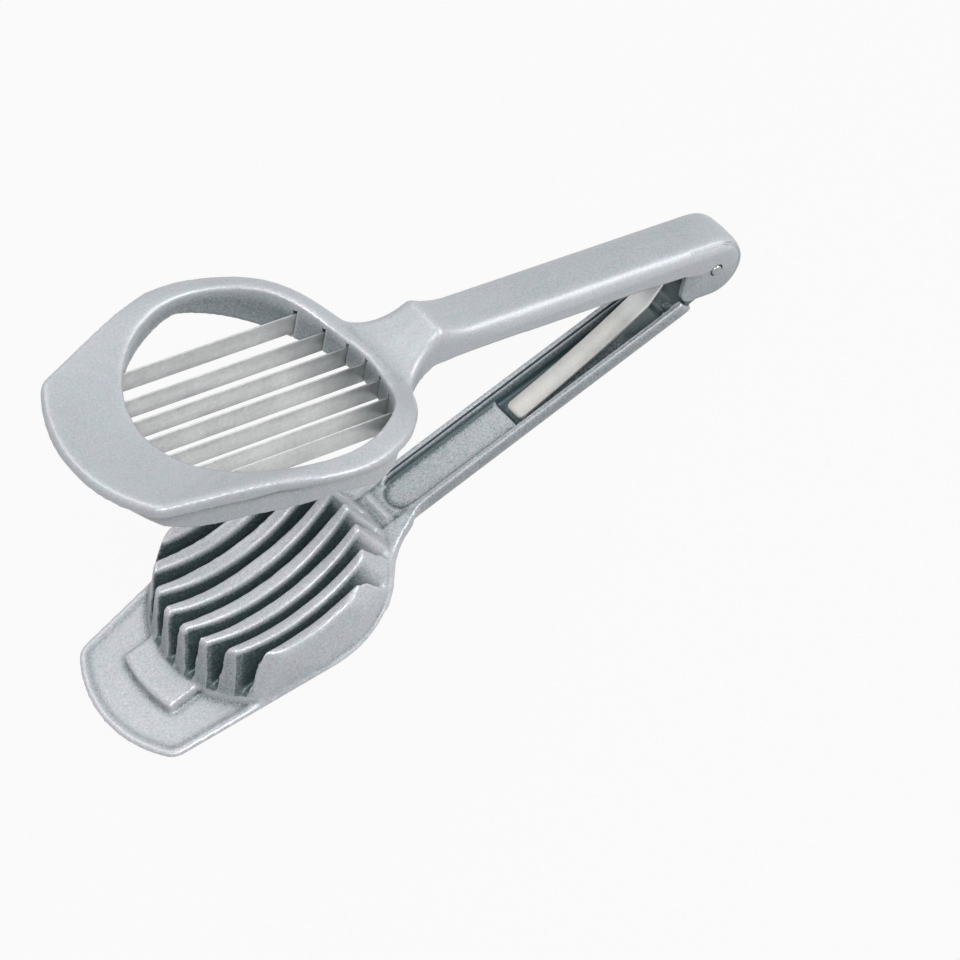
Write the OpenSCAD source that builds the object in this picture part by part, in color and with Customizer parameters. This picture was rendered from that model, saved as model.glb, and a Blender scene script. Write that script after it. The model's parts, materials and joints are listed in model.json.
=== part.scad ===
// Hand-held egg slicer: two castings joined by a pin, seven steel blades
// across the ring of the upper one, and a leaf spring that opens it.
// Origin: middle of the slotted cradle, on the plane that the tool lies on.
// +X runs along the arms towards the hinge, +Z is up.

/* [Blades] */
// Number of blades across the ring
blade_count = 7; // [3:2:7]
// Distance from one blade to the next
blade_pitch = 6.5; // [5.5:0.1:7]
// Height of a blade
blade_h = 5.8; // [4.5:0.1:6.5]
// Thickness of a blade
blade_t = 0.4; // [0.3:0.05:0.7]
// How far each blade end is let into the ring wall
blade_seat = 2.6; // [1.5:0.1:3]

/* [Upper casting] */
// Radius of the round opening
hole_r = 31; // [28:0.5:34]
// Radial width of the ring on its upper side
ring_w = 5.9; // [5.5:0.1:7]
// Height of the ring's upper side above the hinge axis, closed
ring_top = 5.7; // [5.2:0.1:6.4]
// Thickness of the wall round the opening
wall_t = 3.2; // [2.8:0.1:3.6]
// Thickness of the skirt under the lip
skirt_t = 2.2; // [1.8:0.1:2.6]
// Depth of the ring wall below the hinge axis, closed
ring_drop = 2.2; // [1.5:0.1:2.4]
// How much higher the ring's upper side is at its two sides
rim_lift = 6.5; // [4:0.1:7]
// How much higher the ring's lower edge is at its two sides
edge_lift = 7.4; // [4:0.1:7.6]
// Height of the edge of the plate in front of the ring
lip_t = 3; // [2.6:0.1:3.4]
// Step from the plate's edge in to the skirt under it, halfway along its sides
skirt_inset = 2.4; // [1.5:0.1:3]
// Reach of the front lip from the ring's centre
lip_reach = 50.6; // [47:0.2:54]
// Half width of the front lip at its corners
lip_half = 25.2; // [24:0.2:28]
// Radius of the front lip's corners
lip_corner_r = 5; // [3:0.1:7]
// Radius of the front lip's curved edge
lip_front_r = 45; // [40:1:60]
// Width of the upper handle
handle_w = 14.4; // [13:0.1:17]
// Height of the shoulder between ring and handle above the hinge axis
shoulder_top = 13; // [11:0.1:14]
// Height of the handle behind the shoulder
handle_top = 9.9; // [9.2:0.1:10.5]
// Height of the handle over the hinge
handle_end_top = 9; // [8.2:0.1:9.4]
// Radius of the handle's long upper edges
handle_edge_r = 2.8; // [1.5:0.1:3.2]
// Wall of the hollow handle
handle_wall = 2.2; // [1.8:0.1:2.5]
// Radius where the handle runs into the ring
neck_r = 16; // [12:0.5:20]

/* [Lower casting] */
// Thickness of the tray plate
plate_t = 2.4; // [2:0.1:3]
// Height of the bead round the tray plate
bead_h = 0.7; // [0.4:0.1:1.2]
// Width of the bead round the tray plate
bead_w = 1.8; // [1.2:0.1:2.5]
// Reach of the tray from the cradle's centre
tray_reach = 51.3; // [48:0.2:54]
// Half width of the tray's front at its corners
tray_half = 21; // [18:0.2:22]
// Radius of the tray's front corners
tray_corner_r = 5; // [4:0.1:7]
// Radius of the tray's curved front edge
tray_front_r = 35; // [32:1:60]
// Radius of the tray's round rear
tray_rear_r = 27.3; // [26:0.1:27.6]
// Height of the ribs' corners above the table
rib_top = 18.9; // [17:0.1:19.5]
// Depth of the hollow that the egg lies in
dish_depth = 7.6; // [5:0.1:9]
// Radius of that hollow along the arms
dish_r = 42; // [36:1:60]
// Width of a slot between two ribs at its top
slot_top_w = 3.9; // [3:0.1:4.2]
// Width of a slot at its floor
slot_floor_w = 1.7; // [1.5:0.1:2]
// Height of the slot floor above the table
slot_floor = 5.3; // [4.5:0.1:5.4]
// Width of the lower arm at its upper edge
arm_w = 14.7; // [13.5:0.1:16]
// Wall of the lower arm's channel
arm_wall = 2.1; // [1.6:0.1:2.4]
// Height of the lower arm's edge above the table
arm_h = 6; // [5.4:0.1:6.2]
// Height of the channel floor
channel_floor = 3; // [2.4:0.1:3.4]
// Height of the deeper floor under the spring
pocket_floor = 1; // [0.8:0.1:1.4]

/* [Hinge and spring] */
// Distance from the cradle's centre to the hinge axis
hinge_x = 133; // [120:1:145]
// Height of the hinge axis above the table
hinge_z = 8.1; // [8:0.1:8.6]
// Angle between the arms when the spring holds them open
open_angle = 25.6; // [20:0.1:30]
// Diameter of the hinge pin
pin_d = 3; // [2.4:0.1:3.6]
// Radius of the handle's round end about the hinge
ear_r = 7.9; // [7.2:0.1:8]
// Clearance between the pin and the lower arm's bore, on the radius
pin_clear = 0.06; // [0.03:0.01:0.1]
// Clearance between the two castings beside the hinge
hinge_gap = 0.35; // [0.3:0.05:0.5]
// Width of the leaf spring
spring_w = 5.8; // [5:0.1:7.5]
// Thickness of the leaf spring
spring_t = 0.8; // [0.6:0.05:1]
// Distance from the hinge to the spring's foot
spring_reach = 60; // [50:1:66]

/* [Hidden] */
$fn = 64;
eps = 0.01;
tall = 20;   // height of cutters that run out above the part

// ---- shared helpers --------------------------------------------------------

// Point at angle a on the circle of radius r about c
function polar(c, r, a) = c + r * [cos(a), sin(a)];

// Points of an arc about c, from angle a0 to a1 in n steps
function arc(c, r, a0, a1, n) = [for (i = [0 : n]) polar(c, r, a0 + (a1 - a0) * i / n)];

// The same without its first point, to follow on from another arc
function arc_on(c, r, a0, a1, n) = [for (i = [1 : n]) polar(c, r, a0 + (a1 - a0) * i / n)];

// Angle of the normal at which a line touches two circles on their upper side
function tangent_angle(c1, r1, c2, r2) =
    let (d = c2 - c1) atan2(d[1], d[0]) + asin((r2 - r1) / norm(d)) + 90;

// Points on the straight between two points, both ends left out
function between(p, q, n) = [for (i = [1 : n - 1]) p + (q - p) * i / n];

// A half outline given for y > 0, closed with its mirror image
function mirrored(pts) =
    concat(pts, [for (i = [len(pts) - 1 : -1 : 0]) if (pts[i][1] > eps) [pts[i][0], -pts[i][1]]]);

// Value at t between the two values of a pair
function mix(pair, t) = pair[0] + (pair[1] - pair[0]) * t;

// Smooth step from 0 to 1
function step01(t) = let (u = min(1, max(0, t))) u * u * (3 - 2 * u);

// The points of a list in the opposite order
function reversed(list) = [for (i = [len(list) - 1 : -1 : 0]) list[i]];

// A solid through closed cross-sections of the same number of points. With
// round = true the last one joins the first, otherwise both ends are capped.
module loft(sections, round = true) {
    n = len(sections);
    m = len(sections[0]);
    last = round ? n - 1 : n - 2;
    sides = [for (i = [0 : last]) for (j = [0 : m - 1])
        let (a = i * m + j, b = i * m + (j + 1) % m,
             c = ((i + 1) % n) * m + (j + 1) % m, d = ((i + 1) % n) * m + j)
        each [[a, b, c], [a, c, d]]];
    caps = round ? [] : [[for (j = [m - 1 : -1 : 0]) j], [for (j = [0 : m - 1]) (n - 1) * m + j]];
    polyhedron(
        points = [for (s = sections) for (p = s) p],
        faces = concat(sides, caps),
        convexity = 8);
}

// A profile drawn as [x, z] and extruded across the part to +-half
module across(half) {
    rotate([90, 0, 0]) translate([0, 0, -half]) linear_extrude(2 * half) children();
}

// ---- upper casting ---------------------------------------------------------

ring_r = hole_r + ring_w;
lip_front_c = [lip_front_r - lip_reach, 0];
lip_front_a = 180 - asin((lip_half - lip_corner_r) / (lip_front_r - lip_corner_r));
neck_c = [sqrt(pow(ring_r + neck_r, 2) - pow(handle_w / 2 + neck_r, 2)), handle_w / 2 + neck_r];

// Corner of the lip, moved so that its arc meets the front arc
lip_corner = lip_front_c + (lip_front_r - lip_corner_r) * [cos(lip_front_a), sin(lip_front_a)];
lip_line_a = tangent_angle(lip_corner, lip_corner_r, [0, 0], ring_r);

// Outline of ring and lip, from the front round to the rear, y > 0
lip_half_outline = concat(
    arc(lip_front_c, lip_front_r, 180, lip_front_a, 6),
    arc_on(lip_corner, lip_corner_r, lip_front_a, lip_line_a, 5),
    between(lip_corner + lip_corner_r * [cos(lip_line_a), sin(lip_line_a)],
            ring_r * [cos(lip_line_a), sin(lip_line_a)], 5),
    arc([0, 0], ring_r, lip_line_a, 0, 22));
lip_outline = mirrored(lip_half_outline);

// Rise of the upper side away from the middle plane, at distance q from the
// centre along the unit vector u: a shallow trough in front, which climbs more
// steeply and then levels out behind, where the ring also slopes outwards
trough_y = 6.5;
level_y = 28.5;
rear_fall = 1.2;
corner_droop = [0.7, 1];
front_droop = 0.8;
blend_half = 15;
front_limit = 1.1;
function rim_rise(q, u) =
    let (x = q * u[0],
         front = min(front_limit, pow(q * u[1] / hole_r, 2))
             * mix(corner_droop, step01((x + 3 * blend_half) / 25)),
         rear = step01((abs(hole_r * u[1]) - trough_y) / (level_y - trough_y)),
         fall = rear_fall * (q - hole_r) / ring_w * min(1, 2 * abs(u[1])))
    mix([rim_lift * front - front_droop * step01((-x - 28) / 20), rim_lift * rear - fall],
        step01((x + blend_half) / (2 * blend_half)));

// Rise of the lower edge: an arch with its crown a little in front of the middle
crown_x = -3;
crown_half = 29;
crown_power = 1.1;
function edge_rise(x) = edge_lift * pow(max(0, 1 - abs(x - crown_x) / crown_half), crown_power);

// Rise of the outer blades, each a little higher than its inner neighbour
outer_rise = 2.6;
function blade_rise(y) = outer_rise * pow(abs(y) / (3 * blade_pitch), 4);

// The plate's edge: [in front, at the sides]. It is high and sharp in front
// and runs out into a broad bevel at the sides.
round_w = [1.3, 4.8];
round_h = [1.3, 0.5];
edge_run = [[0, 1], [0.65, 1.4], [0.88, 0.93], [1, 0.5]];
inner_bevel = 0.7;
edge_draft = 0.15;
// The skirt under it: further in towards the front, nearly flush at the sides
skirt_front = 0.95;
skirt_side = 0.75;
skirt_foot = 0.7;
hollow_top = 0.4;
inner_lift = 1.8;

// Step from the outline in to the skirt, for the outline point at x
function skirt_step(x, side) = skirt_inset
    * (1 + skirt_front * step01((-x - 30) / 14) - skirt_side * step01(2 * side - 1));

// Kinds of profile point, by what its height is measured from
TOP = 0;
LOW = 1;
ROOF = 2;

// Cross-section of ring and lip along the ray to the outline point p: inner
// wall, upper side, edge, skirt and the hollow under the lip
function ring_section(p) =
    let (ro = norm(p), u = p / ro, side = pow(u[1], 2),
         w = mix(round_w, pow(side, 2)),
         h = mix(round_h, side),
         edge_h = lip_t * lookup(side, edge_run) + edge_draft,
         rs = ro - skirt_step(p[0], side),
         mid = (rs + hole_r + wall_t - skirt_t) / 2,
         room = (rs - skirt_t - hole_r - wall_t) / 2,
         half = max(0.2, room),
         hollow = max(0, min(1, room / 2)),
         lift = inner_lift * side,
         profile = [
            [hole_r, LOW, lift],
            [hole_r, TOP, -1.2 * inner_bevel],
            [hole_r + 0.35 * inner_bevel, TOP, -0.35 * inner_bevel],
            [hole_r + 1.2 * inner_bevel, TOP, 0],
            [ro - w, TOP, 0],
            [ro - 0.5 * w, TOP, -0.18 * h],
            [ro - 0.14 * w, TOP, -0.55 * h],
            [ro, TOP, -h],
            [ro - edge_draft, TOP, -edge_h],
            [rs, TOP, -edge_h - edge_draft],
            [rs - 0.4, LOW, skirt_foot],
            [rs - 1, LOW, 0],
            [mid + half, LOW, 0.3 * lift],
            [mid + half * 0.8, ROOF, hollow],
            [mid - half * 0.8, ROOF, hollow],
            [mid - half, LOW, 0.7 * lift]])
    [for (q = profile)
        let (xy = q[0] * u,
             top = ring_top + rim_rise(q[0], u),
             low = -ring_drop + edge_rise(xy[0]))
        [xy[0], xy[1],
         q[1] == TOP ? top + q[2]
         : q[1] == LOW ? low + q[2]
         : low + q[2] * (top - lip_t + hollow_top - low)]];

// Neck and handle: cross-sections along the arm, x from the ring's centre.
// The upper side climbs in a hollow curve from the ring to a sharp shoulder,
// dips behind it and runs straight on to the rounded end over the hinge.
ramp_x = hole_r + 2.2;
ramp_drop = 0.3;
ramp_power = 1.35;
shoulder_x = neck_c[0] - 1;
dip_len = 12;
dip_x = shoulder_x + dip_len;
end_len = 11.2;
end_x = hinge_x - 3;
end_shape = [2.3, 0.42];
end_taper = 1.1;
crown = 0.25;
low_run = [[ramp_x, -ring_drop], [ramp_x + 2, -ring_drop], [shoulder_x, 2.1], [dip_x, 2.5],
           [hinge_x - 8, 1.5], [hinge_x, 0.2], [hinge_x + end_len, 0.2]];

function end_t(x) = max(0, (x - end_x) / end_len);
function bar_half(x) = -end_taper * pow(end_t(x), 5)
    + (x >= neck_c[0] ? handle_w / 2
       : neck_c[1] - sqrt(max(0, neck_r * neck_r - pow(neck_c[0] - x, 2))));
function bar_low(x) = lookup(x, low_run);
function bar_top(x) =
    x <= shoulder_x
        ? mix([ring_top - ramp_drop, shoulder_top], pow((x - ramp_x) / (shoulder_x - ramp_x), ramp_power))
    : x <= dip_x
        ? mix([handle_top, shoulder_top], pow(1 - (x - shoulder_x) / dip_len, 2))
    : x <= end_x
        ? mix([handle_top, handle_end_top], (x - dip_x) / (end_x - dip_x))
    : mix([bar_low(x), handle_end_top], pow(1 - pow(end_t(x), end_shape[0]), end_shape[1]));

// One cross-section with rounded upper edges and a slight crown
function bar_section(x) =
    let (h = bar_half(x), top = bar_top(x), low = bar_low(x),
         r = min(handle_edge_r, 0.7 * (top - low)))
    concat([[x, h, low]],
           [for (p = arc([h - r, top - r], r, 0, 90, 4)) [x, p[0], p[1]]],
           [[x, 0, top + crown]],
           [for (p = arc([r - h, top - r], r, 90, 180, 4)) [x, p[0], p[1]]],
           [[x, -h, low]]);

bar_stations = concat(
    [for (i = [0 : 7]) mix([ramp_x, shoulder_x], i / 7)],
    [for (i = [1 : 6]) mix([shoulder_x, dip_x], i / 6)],
    [for (i = [1 : 4]) mix([dip_x, end_x], i / 4)],
    [for (t = [0.15, 0.3, 0.45, 0.6, 0.75, 0.87, 0.95, 0.99]) end_x + end_len * t]);

module neck_and_handle() {
    loft([for (x = bar_stations) reversed(bar_section(x))], round = false);
}

// The handle's hollow: inner height follows the upper side less the wall
cavity_half = handle_w / 2 - handle_wall;
cavity_x = dip_x + 2;
cavity_end_x = hinge_x - 2;
cavity_slope = 4;
roof_t = handle_wall + 0.3;
handle_cavity = [
    [cavity_x, -tall], [cavity_x, bar_low(cavity_x) - 1.1],
    [cavity_x + cavity_slope, handle_top - roof_t],
    [cavity_end_x, handle_end_top - roof_t], [cavity_end_x, -tall]];

// Cross wall in the hollow handle that the spring pushes against
stop_low = -0.4;
stop_x = hinge_x - 14.5;
stop_t = 4.6;
module spring_stop() {
    translate([stop_x, -handle_w / 2, stop_low]) cube([stop_t, handle_w, tall]);
}

// An ear on each side of the hinge, set in a little from the handle's sides:
// round about the pin, with a lobe in front of it
ear_half = handle_w / 2 - 0.6;
ear_lobe_r = 3.2;
ear_lobe = [-6.4, -4.6];
ear_front = ear_lobe[0] - ear_lobe_r;
module ears() {
    translate([hinge_x, 0, 0]) across(ear_half) {
        circle(r = ear_r);
        polygon([[0, ear_r - 1.2], [ear_front, 4], [ear_front, ear_lobe[1]],
                 polar(ear_lobe, ear_lobe_r, 250), [-1, 0.2 - ear_r]]);
        translate(ear_lobe) circle(r = ear_lobe_r);
    }
}

// Slots in the ring wall that take the blade ends, open at the lower edge
slot_gap = 0.05;
slot_end_gap = 0.15;
slot_head = 1;
module blade_slots() {
    slot_w = blade_t + 2 * slot_gap;
    for (i = [0 : blade_count - 1]) {
        y = blade_y(i);
        reach = sqrt(pow(hole_r + blade_seat + slot_end_gap, 2) - y * y);
        translate([-reach, y - slot_w / 2, blade_low(i) - tall / 2])
            cube([2 * reach, slot_w, tall / 2 + blade_h + slot_head]);
    }
}

// Room between the ears for the lower arm's tongue
tongue_room = 0.6;
module tongue_space() {
    r = knuckle_r + tongue_room;
    across(cavity_half) {
        circle(r = r);
        polygon([[-3, -tall], [-3, 0], [r, 0], [2, -tall]]);
    }
}

module lid_body() {
    difference() {
        union() {
            loft([for (p = lip_outline) ring_section(p)]);
            neck_and_handle();
            ears();
        }
        difference() {
            across(cavity_half) polygon(handle_cavity);
            spring_stop();
        }
        blade_slots();
        translate([hinge_x, 0, 0]) {
            tongue_space();
            rotate([90, 0, 0]) cylinder(d = pin_d, h = handle_w + 4, center = true);
        }
    }
}

function blade_y(i) = (i - (blade_count - 1) / 2) * blade_pitch;
function blade_low(i) = -ring_drop + blade_rise(blade_y(i));

// Places what is drawn closed, about the hinge, at the open position
module opened() {
    translate([hinge_x, 0, hinge_z]) rotate([0, open_angle, 0]) translate([-hinge_x, 0, 0]) children();
}

module lid_casting() {
    color("silver") opened() lid_body();
}

module blade(i) {
    y = blade_y(i);
    half = sqrt(pow(hole_r + blade_seat, 2) - y * y);
    color("gainsboro") opened()
        translate([-half, y - blade_t / 2, blade_low(i)]) cube([2 * half, blade_t, blade_h]);
}

// Pin pressed into the ears, its ends just proud of the handle's sides
pin_proud = 0.15;
module hinge_pin() {
    color("lightgray") opened() translate([hinge_x, 0, 0]) rotate([90, 0, 0])
        cylinder(d = pin_d, h = handle_w + 2 * pin_proud, center = true);
}

// ---- lower casting ---------------------------------------------------------

tray_front_c = [tray_front_r - tray_reach, 0];
tray_corner_y = tray_half - tray_corner_r;
tray_front_a = 180 - asin(tray_corner_y / (tray_front_r - tray_corner_r));
tray_corner = tray_front_c + (tray_front_r - tray_corner_r) * [cos(tray_front_a), sin(tray_front_a)];
tray_rear_c = [2.5, 0];
tray_line_a = tangent_angle(tray_corner, tray_corner_r, tray_rear_c, tray_rear_r);
arm_root_r = 22;
arm_root_c = [tray_rear_c[0] + sqrt(pow(tray_rear_r + arm_root_r, 2) - pow(arm_w / 2 + arm_root_r, 2)),
              arm_w / 2 + arm_root_r];
arm_touch_a = atan2(arm_root_c[1], arm_root_c[0] - tray_rear_c[0]);
shoulder_gap = 13;
arm_edge_r = 2.8;
root_x = 36;
root_h = 4.2;
foot_cut = 1.8;
rim_low = 2;
arm_end_x = hinge_x - shoulder_gap;

// Outline of the tray plate alone, drawn in by d
function tray_outline(d) = mirrored(concat(
    arc(tray_front_c, tray_front_r - d, 180, tray_front_a, 6),
    arc_on(tray_corner, tray_corner_r - d, tray_front_a, tray_line_a, 5),
    arc(tray_rear_c, tray_rear_r - d, tray_line_a, 0, 16)));

// Outline of tray plate and arm, drawn in by d
function base_outline(d) = mirrored(concat(
    arc(tray_front_c, tray_front_r - d, 180, tray_front_a, 6),
    arc_on(tray_corner, tray_corner_r - d, tray_front_a, tray_line_a, 5),
    arc(tray_rear_c, tray_rear_r - d, tray_line_a, arm_touch_a, 10),
    arc(arm_root_c, arm_root_r + d, 180 + arm_touch_a, 270, 6),
    [[arm_end_x - d, arm_w / 2 - d], [arm_end_x - d, 0]]));

// The rib block before its slots: a cone cut to two sloping sides
block_c = [-0.8, 0, 0];
block_r = 31.2;
block_top_r = 25.4;
block_edge_r = 1.8;
block_low = plate_t - 1;
block_side_top = (blade_count - 1) / 2 * blade_pitch + 4.4;
block_side_low = tray_rear_r - 1.2;
module rib_block() {
    intersection() {
        linear_extrude(2 * tall) polygon(base_outline(foot_cut / 2));
        translate(block_c) rotate_extrude() polygon(concat([[0, block_low], [block_r, block_low]],
            arc([block_top_r - block_edge_r, rib_top - block_edge_r], block_edge_r, 20, 90, 4),
            [[0, rib_top]]));
        rotate([90, 0, 90]) translate([0, 0, -2 * tall]) linear_extrude(4 * tall)
            polygon([[-block_side_low, block_low], [block_side_low, block_low],
                     [block_side_top, rib_top], [-block_side_top, rib_top]]);
    }
}

// Barrel that hollows the rib tops, round about an axis across the tray
dish_cross_r = 86;
module dish() {
    translate([0, 0, rib_top - dish_depth + dish_r]) rotate([90, 0, 0])
        rotate_extrude($fn = 96) polygon(concat(
            [[0, -2 * tall]],
            [for (i = [-8 : 8]) let (y = i * 5)
                [dish_r - dish_cross_r + sqrt(pow(dish_cross_r, 2) - y * y), y]],
            [[0, 2 * tall]]));
}

// Slots between the ribs, which the blades pass down into
module rib_slots() {
    for (i = [0 : blade_count - 1])
        rotate([90, 0, 90]) translate([blade_y(i), 0, -2 * tall]) linear_extrude(4 * tall)
            polygon([[-slot_floor_w / 2, slot_floor], [slot_floor_w / 2, slot_floor],
                     [slot_top_w / 2, rib_top + 0.1], [-slot_top_w / 2, rib_top + 0.1]]);
}

// Raised rest in front of the ribs, on which the closed lip lands
pad_top = slot_floor - 0.2;
pad_half = 9.9;
pad_x = 39;
pad_c = [3, 0, 0];
module landing_pad() {
    intersection() {
        translate([-pad_x, -pad_half, 0]) cube([pad_x, 2 * pad_half, pad_top]);
        translate(pad_c) cylinder(r = pad_x + pad_c[0], h = pad_top);
    }
}

// Hollow of the arm: shallow from the tray on, deeper under the spring, and
// notched in its end wall where the spring dips in
knuckle_r = 5;
knuckle_half = cavity_half - hinge_gap;
channel_half = arm_w / 2 - arm_wall;
channel_x = root_x - 1.5;
pocket_x = hinge_x - spring_reach - 1.6;
pocket_end_x = arm_end_x - 3;
tongue_h = hinge_z - 5.8;
notch_half = spring_w / 2 + 0.5;
step_w = 0.5;
step_h = 1.3;
module channel() {
    round_x = channel_x + channel_half;
    translate([round_x, 0, channel_floor]) {
        cylinder(r = channel_half, h = tall);
        translate([0, -channel_half, 0]) cube([pocket_x - round_x + 1, 2 * channel_half, tall]);
    }
    translate([pocket_x, -channel_half, pocket_floor])
        cube([pocket_end_x - pocket_x, 2 * channel_half, tall]);
    translate([pocket_end_x - 1, -notch_half, tongue_h]) cube([6, 2 * notch_half, tall]);
    // wider step along the upper edges
    translate([round_x, -channel_half - step_w, arm_h - step_h])
        cube([pocket_end_x - round_x, 2 * (channel_half + step_w), tall]);
}

// Tongue of the arm that carries the pin between the ears
module knuckle() {
    back = -shoulder_gap - 3.1;
    translate([hinge_x, 0, hinge_z]) across(knuckle_half) {
        circle(r = knuckle_r);
        polygon([[back, -hinge_z], [-2, -hinge_z], [2.6, -4.2], [0, 2], [-4.4, 2.3], [-8, -3.8],
                 [1 - shoulder_gap, tongue_h - hinge_z], [back, tongue_h - hinge_z]]);
    }
}

// Round-topped bar across the arm's root
bar_r = 1;
bar_reach = 4.9;
module root_bar() {
    translate([root_x - 4, 0, 0]) across(bar_reach) {
        translate([-bar_r, 0]) square([2 * bar_r, root_h]);
        translate([0, root_h]) circle(r = bar_r);
    }
}

// Plate of the tray, its lower edge cut back all round
module tray_plate() {
    hull() {
        linear_extrude(eps) polygon(tray_outline(foot_cut));
        translate([0, 0, rim_low]) linear_extrude(plate_t - rim_low) polygon(tray_outline(0));
    }
}

// Root of the arm, which rises out of the plate
module arm_root() {
    intersection() {
        union() {
            linear_extrude(rim_low) polygon(base_outline(foot_cut / 2));
            translate([0, 0, rim_low / 2]) linear_extrude(root_h - rim_low / 2) polygon(base_outline(0));
        }
        across(2 * tall) polygon([[root_x - 19, 0], [root_x - 19, plate_t - eps],
            [root_x - 12, root_h], [root_x + 0.5, root_h], [root_x + 0.5, 0]]);
    }
}

// Bead round the front of the plate
bead_edge = 0.3;
bead_end_x = -6;
module bead() {
    intersection() {
        translate([0, 0, rim_low]) linear_extrude(plate_t + bead_h - rim_low) difference() {
            polygon(tray_outline(bead_edge));
            polygon(tray_outline(bead_w));
        }
        translate([bead_end_x - 4 * tall, -2 * tall, 0]) cube([4 * tall, 4 * tall, tall]);
    }
}

// Arm: flat underneath, with rounded lower edges
module arm() {
    half = arm_w / 2;
    r = arm_edge_r;
    intersection() {
        linear_extrude(arm_h) polygon(base_outline(0));
        rotate([90, 0, 90]) linear_extrude(hinge_x) polygon(concat(
            arc([half - r, r], r, 270, 360, 6), [[3 * tall, 2 * tall], [-3 * tall, 2 * tall]],
            arc([r - half, r], r, 180, 270, 6)));
        across(arm_w) polygon([[root_x, 0], [root_x, root_h], [root_x + 4, arm_h],
            [hinge_x, arm_h], [hinge_x, 0]]);
    }
}

module base_casting() {
    color("silver") difference() {
        union() {
            tray_plate();
            bead();
            arm_root();
            arm();
            difference() {
                rib_block();
                dish();
            }
            landing_pad();
            root_bar();
            knuckle();
        }
        rib_slots();
        channel();
        translate([hinge_x, 0, hinge_z]) rotate([90, 0, 0])
            cylinder(r = pin_d / 2 + pin_clear, h = arm_w, center = true);
    }
}

// ---- spring ----------------------------------------------------------------

// The strip turns about its toe, which is rolled under to rest on the pocket floor
toe_r = spring_t / 2 + 0.2;
toe_drop = 0.25;
foot_z = pocket_floor + 1;

// Centre line of the strip, [x, z] from its foot: a shallow bow up to the knee,
// then straight on to the tip just under the stop in the upper handle
bow_r = 240;
bow_a = [3, 13];
bow_steps = 10;
bow = [for (i = [0 : bow_steps]) let (a = mix(bow_a, i / bow_steps))
    bow_r * [sin(a) - sin(bow_a[0]), cos(bow_a[0]) - cos(a)]];
knee = bow[bow_steps];
tip_reach = 11.5;
tip_gap = 0.25;
tip_low = stop_low - spring_t / 2 - tip_gap;
spring_tip = [spring_reach - tip_reach,
              hinge_z + (tip_low + tip_reach * sin(open_angle)) / cos(open_angle) - foot_z];

// Offset of the centre line by h to its left, mitred at each point
function offset_line(line, h) = [for (i = [0 : len(line) - 1])
    let (a = line[max(0, i - 1)], b = line[i], c = line[min(len(line) - 1, i + 1)],
         u = c - a, n = norm(u))
    b + h * [-u[1] / n, u[0] / n]];

// Outline of the strip on edge: rolled toe, bow, knee and rounded tip
line = concat(bow, [spring_tip]);
tip_a = atan2(spring_tip[1] - knee[1], spring_tip[0] - knee[0]);
above = offset_line(line, spring_t / 2);
below = offset_line(line, -spring_t / 2);
spring_outline = concat(
    reversed([for (i = [1 : len(line) - 2]) above[i]]),
    arc([toe_r, -toe_drop], toe_r, 90, 290, 8),
    [for (i = [1 : len(line) - 2]) below[i]],
    arc(spring_tip, spring_t / 2, tip_a - 90, tip_a + 90, 8));

module leaf_spring() {
    color("lightgray") translate([hinge_x - spring_reach, 0, foot_z])
        across(spring_w / 2) polygon(spring_outline);
}

// ---- assembly --------------------------------------------------------------

base_casting();
lid_casting();
blade(0);  // blade_1
blade(1);  // blade_2
blade(2);  // blade_3
blade(3);  // blade_4
blade(4);  // blade_5
blade(5);  // blade_6
blade(6);  // blade_7
hinge_pin();
leaf_spring();
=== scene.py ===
"""Egg slicer: two silver castings, seven steel blades, a pin and a leaf spring."""

from __future__ import annotations

import json
import logging
import math
from dataclasses import dataclass, field
from enum import Enum
from typing import Any

import bmesh
import bpy
from mathutils import Euler, Matrix, Vector

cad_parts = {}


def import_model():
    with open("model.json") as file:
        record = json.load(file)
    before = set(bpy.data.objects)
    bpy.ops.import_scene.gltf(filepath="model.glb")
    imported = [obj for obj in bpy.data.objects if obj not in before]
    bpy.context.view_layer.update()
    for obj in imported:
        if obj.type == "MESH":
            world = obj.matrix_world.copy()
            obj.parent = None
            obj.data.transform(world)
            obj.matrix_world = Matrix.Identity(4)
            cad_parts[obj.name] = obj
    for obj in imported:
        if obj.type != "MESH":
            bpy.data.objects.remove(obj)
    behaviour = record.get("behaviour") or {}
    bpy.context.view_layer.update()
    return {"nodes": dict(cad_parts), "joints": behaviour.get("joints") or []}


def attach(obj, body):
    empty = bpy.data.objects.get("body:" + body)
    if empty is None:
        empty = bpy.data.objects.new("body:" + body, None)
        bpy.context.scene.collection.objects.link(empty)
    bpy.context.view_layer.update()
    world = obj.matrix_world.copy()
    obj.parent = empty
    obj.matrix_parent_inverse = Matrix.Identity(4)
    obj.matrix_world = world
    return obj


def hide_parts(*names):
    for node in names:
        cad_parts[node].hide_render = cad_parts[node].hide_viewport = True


LOG = logging.getLogger("egg_slicer")
MM = 0.001
ACROSS = Matrix.Rotation(math.pi / 2, 4, "X")
Triple = tuple[float, float, float]
Colour = tuple[float, float, float, float]


class Slot(Enum):
    """The record's material slots."""

    CAST = "cast_aluminium"
    BLADE = "blade_steel"
    SPRING = "spring_steel"
    PIN = "pin_steel"


# ---- shader helpers --------------------------------------------------------


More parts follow.
